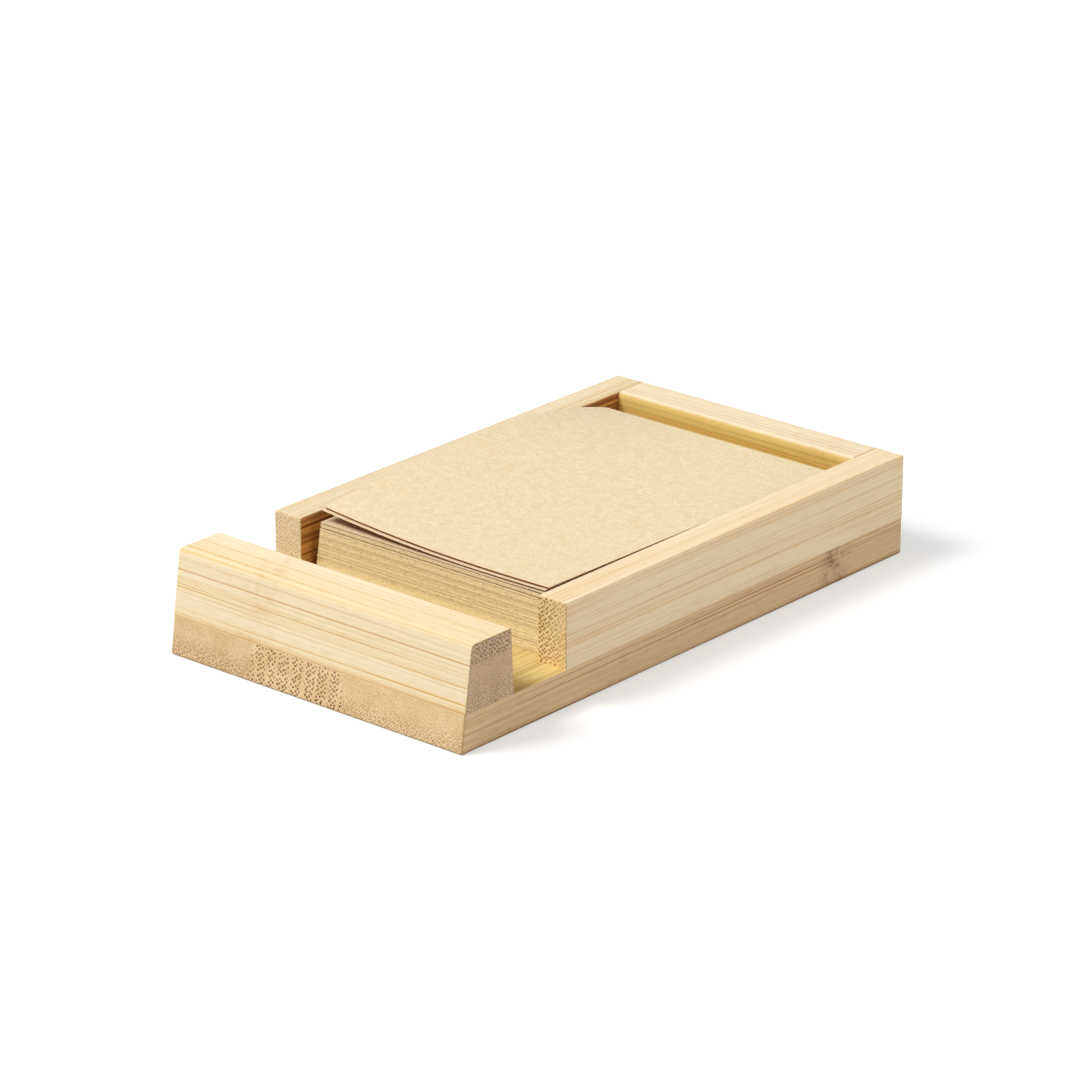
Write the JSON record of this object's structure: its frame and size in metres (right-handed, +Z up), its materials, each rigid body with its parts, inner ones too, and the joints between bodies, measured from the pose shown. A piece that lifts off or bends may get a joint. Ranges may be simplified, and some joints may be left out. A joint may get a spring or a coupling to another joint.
{
  "type": "memo sheet holder",
  "caption": "Low bamboo desk holder: an open tray of loose kraft memo sheets, with a sloped front rail and a cross slot that stands a phone upright.",
  "frame": {"origin": "middle of the footprint, on the surface that the holder stands on", "axes": "+X to the right, +Y from the phone slot to the back rail, +Z up"},
  "size_m": [0.08, 0.1436, 0.0273],
  "materials": {
    "bamboo_board": "sanded, clear matt lacquer",
    "bamboo_rail": "sanded, clear matt lacquer",
    "kraft_paper": "uncoated kraft"
  },
  "bodies": {
    "holder": {"base_board": "bamboo_board", "front_rail": "bamboo_rail", "left_rail": "bamboo_rail", "right_rail": "bamboo_rail", "back_rail": "bamboo_rail"},
    "memo_stack": {"memo_stack": "kraft_paper"},
    "upper_sheet_1": {"upper_sheet_1": "kraft_paper"},
    "upper_sheet_2": {"upper_sheet_2": "kraft_paper"},
    "upper_sheet_3": {"upper_sheet_3": "kraft_paper"},
    "upper_sheet_4": {"upper_sheet_4": "kraft_paper"},
    "upper_sheet_5": {"upper_sheet_5": "kraft_paper"},
    "upper_sheet_6": {"upper_sheet_6": "kraft_paper"},
    "third_sheet": {"third_sheet": "kraft_paper"},
    "second_sheet": {"second_sheet": "kraft_paper"},
    "top_sheet": {"top_sheet": "kraft_paper"}
  },
  "joints": [
    {"name": "memo_stack_lift", "type": "slide", "parent": "holder", "child": "memo_stack", "axis": [0, 0, 1], "range_m": [0, 0.03]},
    {"name": "upper_sheet_1_lift", "type": "slide", "parent": "memo_stack", "child": "upper_sheet_1", "axis": [0, 0, 1], "range_m": [0, 0.02]},
    {"name": "upper_sheet_2_lift", "type": "slide", "parent": "upper_sheet_1", "child": "upper_sheet_2", "axis": [0, 0, 1], "range_m": [0, 0.02]},
    {"name": "upper_sheet_3_lift", "type": "slide", "parent": "upper_sheet_2", "child": "upper_sheet_3", "axis": [0, 0, 1], "range_m": [0, 0.02]},
    {"name": "upper_sheet_4_lift", "type": "slide", "parent": "upper_sheet_3", "child": "upper_sheet_4", "axis": [0, 0, 1], "range_m": [0, 0.02]},
    {"name": "upper_sheet_5_lift", "type": "slide", "parent": "upper_sheet_4", "child": "upper_sheet_5", "axis": [0, 0, 1], "range_m": [0, 0.02]},
    {"name": "upper_sheet_6_lift", "type": "slide", "parent": "upper_sheet_5", "child": "upper_sheet_6", "axis": [0, 0, 1], "range_m": [0, 0.02]},
    {"name": "third_sheet_lift", "type": "slide", "parent": "upper_sheet_6", "child": "third_sheet", "axis": [0, 0, 1], "range_m": [0, 0.02]},
    {"name": "second_sheet_lift", "type": "slide", "parent": "third_sheet", "child": "second_sheet", "axis": [0, 0, 1], "range_m": [0, 0.02]},
    {"name": "top_sheet_lift", "type": "slide", "parent": "second_sheet", "child": "top_sheet", "axis": [0, 0, 1], "range_m": [0, 0.02]}
  ]
}
